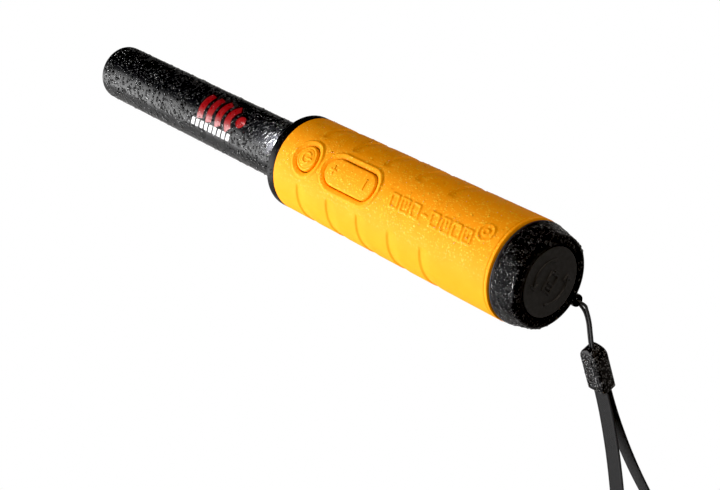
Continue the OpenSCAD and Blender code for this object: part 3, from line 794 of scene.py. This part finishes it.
def stadium_outline(r):
    """Outline of the rocker's shape, r wide on each side of its middle line."""
    half = ROCKER[1]
    a = np.linspace(-math.pi / 2, math.pi / 2, 61)
    right = np.column_stack([half + r * np.cos(a), r * np.sin(a)])
    x = np.linspace(half, -half, 60)[1:-1]
    top = np.column_stack([x, np.full(len(x), r)])
    return np.concatenate([right, top, -right, -top])


def buttons():
    power_foot, rocker_foot, rocker_stem = 10.0, 9.8, 9.2
    button_solid("power_key_cap", POWER[0], POWER[1], circle_outline, power_sign, 16.9,
                 [(0, power_foot)], "power_key", "power_button")
    stems = [(-rocker_stem, rocker_foot), (rocker_stem, rocker_foot)]
    button_solid("rocker_key_cap", ROCKER[0], ROCKER[2], stadium_outline, rocker_signs, 16.2,
                 stems, "function_key", "function_rocker")


buttons()


# ---- collar and torch ----

def collar():
    """Flange ahead of the grip: a flat face, a sloping front and a rounded rim."""
    round_r, bore, back = 1.1, PROBE_R - 0.25, GRIP_FRONT - 0.03
    rim_x, rim_r = COLLAR_FACE + 1.4, GRIP_R[0]
    outline = ([(bore, COLLAR_FACE + 0.25), (PROBE_R, COLLAR_FACE), (12.8, COLLAR_FACE),
                (13.0, COLLAR_FACE + 0.05)]
               + arc(rim_r - round_r, rim_x + round_r, round_r, -90, 0, 10)
               + [(rim_r, GRIP_FRONT - 0.35), (rim_r - 0.1, GRIP_FRONT - 0.08),
                  (rim_r - 0.3, back), (bore, back)])
    form = rolled_form(lathe(outline, 192, closed=True))
    solid("collar", form, "handle", COLLAR_PLASTIC, "front_collar", merge=0.005)


def torch():
    """Torch window: a low dome on a short round plug."""
    dome_r, bulge, plug_r, plug = 1.7, 0.25, 2.05, 1.9
    face = COLLAR_FACE - 0.02
    outline = [(AXIS_R, face - bulge)]
    outline += [(r, face - bulge * math.cos(r / dome_r * math.pi / 2)) for r in np.linspace(0.2, dome_r, 10)]
    outline += [(plug_r, face + 0.15), (plug_r, face + plug), (AXIS_R, face + plug)]
    points, faces = lathe(outline, 48)
    points[:, 2] += TORCH_Z
    form = rolled(points), faces
    solid("torch_window", form, "handle", TORCH_GLASS, "torch_lens", merge=0.01)


collar()
torch()


# ---- probe ----

def probe():
    """Tube with a closed tip and a rounded edge, stepped down inside the collar."""
    round_r, tip_wall, front = 1.6, 2.2, COLLAR_FACE - 0.05
    spigot, bore = PROBE_R - 0.3, PROBE_R - 1.6
    outline = ([(r, TIP_X) for r in (AXIS_R, 3, 6, 8.5)]
               + arc(PROBE_R - round_r, TIP_X + round_r, round_r, -90, 0, 14)
               + [(PROBE_R, x) for x in np.linspace(TIP_X + 3, front, 60)]
               + [(spigot, front), (spigot, PROBE_BACK), (bore, PROBE_BACK),
                  (bore, TIP_X + tip_wall), (AXIS_R, TIP_X + tip_wall)])
    form = rolled_form(lathe(outline, 160))
    solid("probe_shell", form, "handle", PROBE_PLASTIC, "probe_tube", merge=0.01)


def patch(corners_low, corners_high, rows=3):
    """Strip of ink between two lines of (x, s) points on the tube, s being the length round it."""
    low, high = np.array(corners_low, float), np.array(corners_high, float)
    lift = 0.025
    lines = [low + (high - low) * k / rows for k in range(rows + 1)]
    flat = np.concatenate(lines)
    n = len(low)
    outer = on_cylinder(flat[:, 0], flat[:, 1] / PROBE_R, PROBE_R + lift)
    inner = on_cylinder(flat[:, 0], flat[:, 1] / PROBE_R, PROBE_R - lift)
    top = grid_faces(rows + 1, n, wrap=False)
    below = [[v + len(flat) for v in f[::-1]] for f in top]
    edge = (list(range(n)) + [i * n + n - 1 for i in range(1, rows + 1)]
            + [rows * n + i for i in range(n - 2, -1, -1)] + [i * n for i in range(rows - 1, 0, -1)])
    walls = [[a, b, b + len(flat), a + len(flat)] for a, b in zip(edge, edge[1:] + edge[:1])]
    return np.concatenate([outer, inner]), top + below + walls


def arc_strip(cx, cs, r, width, a0, a1, n=28):
    """Curved strip of ink round the point (cx, cs), angles in degrees."""
    a = np.radians(np.linspace(a0, a1, n))
    line = np.column_stack([np.cos(a), np.sin(a)])
    return patch(line * (r - width / 2) + (cx, cs), line * (r + width / 2) + (cx, cs))


def probe_print():
    """Signal arcs in red, and a row of slanted white ticks beside them."""
    cx, cs, stroke = -91.5, -1.6, 3.5
    arcs = [arc_strip(cx, cs, 1.3, 2.4, 0, 360)]
    for r, half in ((7, 46), (12.6, 26), (18.2, 18), (23.8, 13.5)):
        arcs.append(arc_strip(cx, cs, r, stroke, 180 - half, 180 + half))
    red = print_ink("red_ink", (0.3, 0.003, 0.005))
    solid("signal_mark", rolled_form(joined(*arcs)), "handle", red, sharp=50, merge=0.002)
    first, pitch, wide, near, far, slant = -119.5, 2.85, 1.9, 4.6, 7.6, 0.6
    ticks = []
    for i in range(9):
        x = first + 0.5 + pitch * i
        ticks.append(patch([(x, near), (x + wide, near)], [(x - slant, far), (x - slant + wide, far)]))
    white = print_ink("white_ink", (0.7, 0.7, 0.7))
    solid("tick_mark", rolled_form(joined(*ticks)), "handle", white, sharp=50, merge=0.002)


probe()
probe_print()


# ---- battery cap ----

def cap_profile(x):
    """Radius of the cap's ribs at x."""
    t = np.clip((x - SHOULDER) / (CAP_END - 0.4 - SHOULDER), 0, 1)
    return CAP_RIM + (CAP_R - CAP_RIM) * np.sqrt(np.maximum(0, 1 - t ** 2))


def cap_shape(x, angle, r):
    """Cuts six soft flats between the ribs on the cap's outer side."""
    flats, deepest, slope = 6, 1.35, 0.3
    outside = (r > CAP_RIM + 0.02) & (x > CAP_FRONT + 0.6)
    flat = np.sqrt(np.sin(flats / 2 * angle) ** 2 + 0.004) - 0.063
    floor = CAP_R - slope * np.maximum(0, x - CAP_FRONT - 1.2)
    depth = np.minimum(np.maximum(0, r - floor), deepest) * smooth(CAP_END - 0.4, CAP_END - 2.6, x)
    return np.where(outside, r - depth * flat, r)


def cap_outline():
    """The cap from its front edge over its side and end, and back through its bore."""
    bore, ceiling, recess = 16.9, 64, CAP_END - 0.95
    side = [(CAP_R - 0.25, CAP_FRONT), (CAP_R - 0.05, CAP_FRONT + 0.12),
            (CAP_R + 0.05, CAP_FRONT + 0.45)]
    side += [(CAP_R, x) for x in np.linspace(CAP_FRONT + 0.9, SHOULDER, 12)]
    end = CAP_END - 0.4
    side += [(CAP_RIM + (CAP_R - CAP_RIM) * math.cos(a), SHOULDER + (end - SHOULDER) * math.sin(a))
             for a in np.radians(np.linspace(4, 90, 30))]
    groove = BADGE_R + 0.4
    return side + [(groove + 0.35, end + 0.03), (groove + 0.08, end - 0.08), (groove, end - 0.35),
                   (groove, recess), (AXIS_R, recess), (AXIS_R, ceiling), (bore - 0.8, ceiling),
                   (bore, ceiling - 0.8), (bore, CAP_FRONT), (CAP_R - 0.25, CAP_FRONT)]


def thread(root, crest, x0, turns, pitch=2.0):
    """Helical rib inside the cap."""
    steps_a_turn = 48
    steps = round(turns * steps_a_turn)
    a = 2 * math.pi * np.arange(steps + 1) / steps_a_turn
    rows = []
    for r, dx in ((root, -0.5), (crest, -0.25), (crest, 0.25), (root, 0.5)):
        rows.append(on_cylinder(x0 + pitch * a / (2 * math.pi) + dx, a, r))
    points = np.stack(rows, 1).reshape(-1, 3)
    faces = grid_faces(steps + 1, 4) + [[3, 2, 1, 0], [steps * 4 + k for k in range(4)]]
    return points, faces


def lug():
    """Rounded eyelet opposite the buttons, rooted in the cap's side."""
    steps, mid_x, half = 72, sum(LUG_X) / 2, (LUG_X[1] - LUG_X[0]) / 2
    mid_r = (LUG_R + LUG_HOLE) / 2
    thick = (LUG_R - LUG_HOLE) / 2
    squareness, root_stretch = 0.7, 0.9
    turn = np.linspace(0, 2 * math.pi, steps, endpoint=False)
    rows = []
    for a in np.linspace(0, 2 * math.pi, 20, endpoint=False):
        out = math.copysign(abs(math.cos(a)) ** squareness, math.cos(a)) * thick
        aside = math.copysign(abs(math.sin(a)) ** squareness, math.sin(a)) * half
        r = mid_r + out
        root = root_stretch if out > 0 else 0.0
        stretch = np.where(np.cos(turn) > 0, 1 + root * np.cos(turn) ** 2, 1)
        rows.append(np.column_stack([np.full(steps, mid_x + aside), r * np.sin(turn),
                                     LUG_Z + r * np.cos(turn) * stretch]))
    rows.append(rows[0])
    return np.concatenate(rows), grid_faces(len(rows), steps)


def battery_cap():
    body = lathe(cap_outline(), 288, cap_shape)
    form = rolled_form(joined(body, lug(), thread(root=17.15, crest=16.1, x0=60, turns=1.7)))
    solid("cap_shell", form, "cap", CAP_PLASTIC, "battery_cap", sharp=50, merge=0.004)


def battery_sign(x, y):
    """Generic sign: a battery outline with two turn arrows round it."""
    arrow_r, sweep, head = 7.9, 105, 1.5
    near = box_distance(x, y, -3.6, 3.1, 2.1)
    for at, half in ((3.9, 0.8), (-2.2, 0.9), (-0.6, 0.9)):
        near = np.minimum(near, segment_distance(x, y, at, -half, at, half))
    radius, angle = np.hypot(x, y), np.degrees(np.arctan2(y, x))
    for start in (20, -160):
        turned = (angle - start) % 360
        near = np.minimum(near, np.where(turned < sweep, np.abs(radius - arrow_r), FAR))
        tip, back = math.radians(start + sweep + 7), math.radians(start + sweep - 7)
        for r in (arrow_r - head, arrow_r + head):
            near = np.minimum(near, segment_distance(
                x, y, arrow_r * math.cos(tip), arrow_r * math.sin(tip),
                r * math.cos(back), r * math.sin(back)))
    return 1 - smooth(0.3, 0.46, near)


def badge():
    """Round plate in the cap's end face, with the battery sign in relief."""
    steps, back, sign_height, round_r = 240, CAP_END - 0.9, 0.42, 0.3
    turn = np.linspace(0, 2 * math.pi, steps, endpoint=False)
    r = eased_radii(BADGE_R - 0.7, 0.7, 66, 7)[:, None] + 0 * turn
    y, z = r * np.sin(turn), r * np.cos(turn)
    inset = np.maximum(0, r - (BADGE_R - round_r))
    round_off = round_r - np.sqrt(np.maximum(0, round_r ** 2 - inset ** 2))
    x = CAP_END - sign_height - round_off + sign_height * battery_sign(y, z)
    top = np.stack([x, y, z], -1)
    wall = np.stack([0 * turn + back, BADGE_R * np.sin(turn), BADGE_R * np.cos(turn)], -1)[None]
    centre = np.stack([0 * turn + back, 0 * turn, 0 * turn], -1)[None]
    skin = np.concatenate([top, wall, centre])
    form = rolled(skin.reshape(-1, 3)), grid_faces(len(skin), steps)
    solid("badge", form, "cap", BADGE_PLASTIC, "cap_badge", merge=0.004)


def gasket():
    low, high = span("cap_gasket")
    outline = arc(17.75, (low + high) / 2, (high - low) / 2, -90, 90, 8)
    outline += [(16.85, high), (16.85, low)]
    form = rolled_form(lathe(outline, 160, closed=True))
    solid("gasket_ring", form, "gasket", SEAL_RUBBER, "cap_gasket", merge=0.004)


battery_cap()
badge()
gasket()


# ---- materials of what lies inside ----

def circuit_board():
    """Green board with copper tracks under the lacquer."""
    n = Nodes("circuit_board")
    tracks = n.node("TexBrick", {
        "Vector": n.place, "Scale": 0.35, "Mortar Size": 0.06, "Color1": rgb(0.004, 0.07, 0.025),
        "Color2": rgb(0.005, 0.085, 0.03), "Mortar": rgb(0.012, 0.15, 0.05)})
    return n.done(Base_Color=tracks["Color"], Roughness=n.remap(n.noise(2), 0.3, 0.7, 0.3, 0.42),
                  Normal=n.bump(tracks["Fac"], 0.03))


def copper_winding():
    """Turns of enamelled wire side by side along the tube."""
    n = Nodes("copper_winding")
    height = n.remap(n.wave("X", 0.35), -1, 1, 0, 1)
    # painted shade: the colour is darker in the gaps between the turns
    return n.done(Base_Color=n.mix(height, rgb(0.2, 0.05, 0.012), rgb(0.62, 0.22, 0.07)), Metallic=0.9,
                  Roughness=n.remap(n.noise(1.5), 0.3, 0.7, 0.25, 0.4), Normal=n.bump(height, 0.1))


INSIDE = {
    "torch_led": plain("led_body", (0.75, 0.7, 0.4), 0.25),
    "ferrite_core": plain("ferrite", (0.05, 0.05, 0.055), 0.5, 0.4, 0.04),
    "coil_bobbin": plain("bobbin_plastic", (0.55, 0.5, 0.38), 0.45),
    "transmit_coil": copper_winding(),
    "probe_bulkhead": plain("frame_plastic", (0.05, 0.05, 0.055), 0.5),
    "coil_leads": plain("copper_lead", (0.6, 0.22, 0.07), 0.3, 0.3, 0.02, 0.2, Metallic=0.8),
    "housing": plain("shell_plastic", (0.014, 0.014, 0.016), 0.45),
    "button_frame": plain("button_frame_plastic", (0.09, 0.09, 0.1), 0.5),
    "power_pill": plain("carbon", (0.01, 0.01, 0.011), 0.7),
    "main_pcb": circuit_board(),
    "contact_pads": plain("gold", (0.85, 0.6, 0.2), 0.25, 0.3, 0.01, 0.1, Metallic=1.0),
    "microcontroller": plain("chip_plastic", (0.018, 0.018, 0.02), 0.55, 0.15, 0.02),
    "capacitors": plain("capacitor_can", (0.03, 0.05, 0.22), 0.35),
    "crystal": plain("steel", (0.6, 0.6, 0.62), 0.3, 0.3, 0.01, 0.1, Metallic=1.0),
    "piezo_sounder": plain("brass", (0.75, 0.52, 0.2), 0.3, 0.3, 0.01, 0.15, Metallic=1.0),
    "vibration_weight": plain("tungsten", (0.35, 0.34, 0.32), 0.4, 0.3, 0.02, 0.15, Metallic=1.0),
    "battery": plain("battery_jacket", (0.03, 0.035, 0.06), 0.35, 1.2, 0.02),
    "snap_connector": plain("vinyl_black", (0.012, 0.012, 0.012), 0.5),
    "lead_red": plain("vinyl_red", (0.5, 0.01, 0.01), 0.4),
    "battery_pad": plain("foam", (0.035, 0.035, 0.04), 0.9, 0.5, 0.2),
}
SAME = {
    "transmit_coil": ["receive_coil_front", "receive_coil_rear"],
    "probe_bulkhead": ["chassis", "bay_bulkhead"],
    "housing": ["neck_ring"],
    "power_pill": ["rocker_pills"],
    "microcontroller": ["analog_chips", "coil_driver"],
    "crystal": ["pcb_screws", "vibration_motor", "vibration_shaft", "battery_terminals"],
    "snap_connector": ["lead_black"],
}


def dress(node, material):
    """Gives a CAD node its material."""
    mesh = frame["nodes"][node].data
    mesh.materials.clear()
    mesh.materials.append(material)


def dress_inside():
    dress("probe_oring", SEAL_RUBBER)
    for node, material in INSIDE.items():
        for n in [node, *SAME.get(node, [])]:
            dress(n, material)


dress_inside()


# ---- drops of water ----

def drop_mesh(centre, normal, radius, height):
    """A low dome standing on a surface."""
    side = np.cross(normal, (1.0, 0.2, 0.1))
    side /= np.linalg.norm(side)
    other = np.cross(normal, side)
    rings, steps = 4, 10
    turn = np.linspace(0, 2 * math.pi, steps, endpoint=False)
    ring = np.outer(np.cos(turn), side) + np.outer(np.sin(turn), other)
    rows = [centre - normal * height * 0.3 + ring * radius * 0.9]
    for a in np.arange(rings) / rings * math.pi / 2:
        rows.append(centre + ring * radius * math.cos(a) + normal * height * math.sin(a))
    points = np.concatenate(rows + [centre[None] + normal * height])
    faces = grid_faces(rings + 1, steps) + [list(range(steps))[::-1]]
    top = len(points) - 1
    faces += [[rings * steps + k, rings * steps + (k + 1) % steps, top] for k in range(steps)]
    return points, faces


def inside_cad_box(points):
    placed = rolled(points) * MM
    return (placed >= np.array(cad_low)).all() and (placed <= np.array(cad_high)).all()


def buttons_clear(x, angle):
    """True away from the buttons, which move on their own."""
    y = -GRIP_R[0] * math.sin(angle)
    return math.cos(angle) < 0.3 or min(opening_distances(x, y)) > 1.2


def scatter_drops(name, body, count, seed, x_range, angle_range, surface, sizes, away_from=None):
    """Drops of random size over a band of the handle's surface. surface(x, angle) is its radius."""
    rng = np.random.default_rng(seed)
    ahead_by = 0.2
    parts = []
    for _ in range(count):
        x = rng.uniform(*x_range)
        angle = math.radians(rng.uniform(*angle_range))
        radius = sizes[0] + (sizes[1] - sizes[0]) * rng.random() ** 3
        r = float(surface(np.array([x]), np.array([angle]))[0])
        ahead = float(surface(np.array([x + ahead_by]), np.array([angle]))[0])
        normal = np.array([-(ahead - r) / ahead_by, -math.sin(angle), math.cos(angle)])
        normal /= np.linalg.norm(normal)
        centre = on_cylinder(x, angle, r)[0]
        drop = drop_mesh(centre, normal, radius, radius * rng.uniform(0.35, 0.55))
        if inside_cad_box(drop[0]) and (away_from is None or away_from(x, angle)):
            parts.append(drop)
    solid(name, rolled_form(joined(*parts)), body, WATER, sharp=80)


def all_drops():
    scatter_drops("probe_drops", "handle", 1900, 7, (TIP_X + 2.5, COLLAR_FACE - 0.6), (-180, 180),
                  lambda x, a: PROBE_R + 0 * x, (0.2, 0.6))
    scatter_drops("grip_drops", "handle", 800, 5, (GRIP_FRONT + 1, GRIP_REAR - 2.5), (-115, 12),
                  lambda x, a: grip_height(x, a, grip_base(x)), (0.14, 0.36), away_from=buttons_clear)
    scatter_drops("cap_drops", "cap", 900, 11, (CAP_FRONT + 0.8, CAP_END - 1.4), (-165, 165),
                  lambda x, a: cap_shape(x, a, cap_profile(x)), (0.2, 0.6))


def slider_drops():
    """Drops on the slider's broad face on the -Y side."""
    rng = np.random.default_rng(23)
    outward = np.array([0.0, -1.0, 0.0])
    parts = []
    for _ in range(260):
        centre = np.array([LANYARD[0] + rng.uniform(-3.1, 3.1), LANYARD[1] - SLIDER_T / 2,
                           SLIDER_TOP - rng.uniform(3.4, SLIDER_LEN - 1.2)])
        radius = 0.18 + 0.4 * rng.random() ** 2
        parts.append(drop_mesh(centre, outward, radius, radius * rng.uniform(0.4, 0.6)))
    solid("slider_drops", joined(*parts), "lanyard", WATER, sharp=80)


all_drops()
slider_drops()


# ---- floor and light ----

def white_to_camera(tree, lit, kind, strength, output):
    """Shows the camera plain white where everything else gets the lit shader."""
    white = tree.nodes.new(kind)
    white.inputs["Color"].default_value = rgb(1, 1, 1)
    white.inputs["Strength"].default_value = strength
    rays = tree.nodes.new("ShaderNodeLightPath")
    blend = tree.nodes.new("ShaderNodeMixShader")
    tree.links.new(rays.outputs["Is Camera Ray"], blend.inputs[0])
    tree.links.new(lit.outputs[0], blend.inputs[1])
    tree.links.new(white.outputs[0], blend.inputs[2])
    tree.links.new(blend.outputs[0], tree.nodes[output].inputs[0])


def floor():
    """Plain pale floor that the camera sees as white."""
    size, depth = 6.0, cad_low.z - 0.03
    corners = [(x * size, y * size, depth) for x, y in ((-1, -1), (1, -1), (1, 1), (-1, 1))]
    mesh = bpy.data.meshes.new("floor")
    mesh.from_pydata(corners, [], [[0, 1, 2, 3]])
    piece = bpy.data.objects.new("floor", mesh)
    bpy.context.scene.collection.objects.link(piece)
    material = bpy.data.materials.new("floor")
    material.use_nodes = True
    tree = material.node_tree
    shader = tree.nodes["Principled BSDF"]
    shader.inputs["Base Color"].default_value = rgb(0.45, 0.45, 0.45)
    shader.inputs["Roughness"].default_value = 0.9
    white_to_camera(tree, shader, "ShaderNodeEmission", 1.0, "Material Output")
    mesh.materials.append(material)


def world():
    """White where the camera sees it, but only a faint glow on the object."""
    bpy.context.scene.world = bpy.data.worlds.new("world")
    bpy.context.scene.world.use_nodes = True
    tree = bpy.context.scene.world.node_tree
    background = tree.nodes["Background"]
    background.inputs["Color"].default_value = rgb(0.9, 0.95, 1)
    background.inputs["Strength"].default_value = 0.05
    white_to_camera(tree, background, "ShaderNodeBackground", 1.01, "World Output")


def place_light(data, location, behind):
    """Puts a light at a place in metres, shining away from the direction behind it."""
    light = bpy.data.objects.new(data.name, data)
    light.location = location
    light.rotation_mode = "QUATERNION"
    light.rotation_quaternion = behind.to_track_quat("Z", "Y")
    bpy.context.scene.collection.objects.link(light)


def soft_box(name, direction, distance, size, power, colour):
    """Square area light in the given direction from the grip, facing it."""
    data = bpy.data.lights.new(name, "AREA")
    data.shape, data.size, data.energy, data.color = "SQUARE", size, power, colour
    behind = Vector(direction).normalized()
    place_light(data, behind * distance, behind)


def torch_beam():
    """The torch's light along the tube."""
    data = bpy.data.lights.new("torch_beam", "SPOT")
    data.energy, data.spot_size, data.spot_blend = 0.65, math.radians(75), 1.0
    data.shadow_soft_size = 0.0015
    place, behind = rolled([(COLLAR_FACE - 0.8, 0, TORCH_Z), (1.0, 0, 0.85)])
    place_light(data, Vector(place * MM), Vector(behind))


def lights():
    soft_box("key", (-0.6, -0.8, 0.02), 1.0, size=1.1, power=39.0, colour=(1, 1, 1))
    soft_box("top_fill", (0.55, 0.06, 0.82), 1.2, size=0.8, power=6.5, colour=(1, 0.86, 0.72))
    soft_box("back_fill", (0.02, 1, -0.05), 1.0, size=0.8, power=3.5, colour=(1, 0.95, 0.9))
    torch_beam()


def exposure():
    """Standard view with the darkest greys pulled down to black."""
    black = 0.007
    view = bpy.context.scene.view_settings
    view.view_transform = "Standard"
    view.use_curve_mapping = True
    view.curve_mapping.black_level = (black, black, black)
    view.curve_mapping.update()


floor()
world()
lights()
exposure()
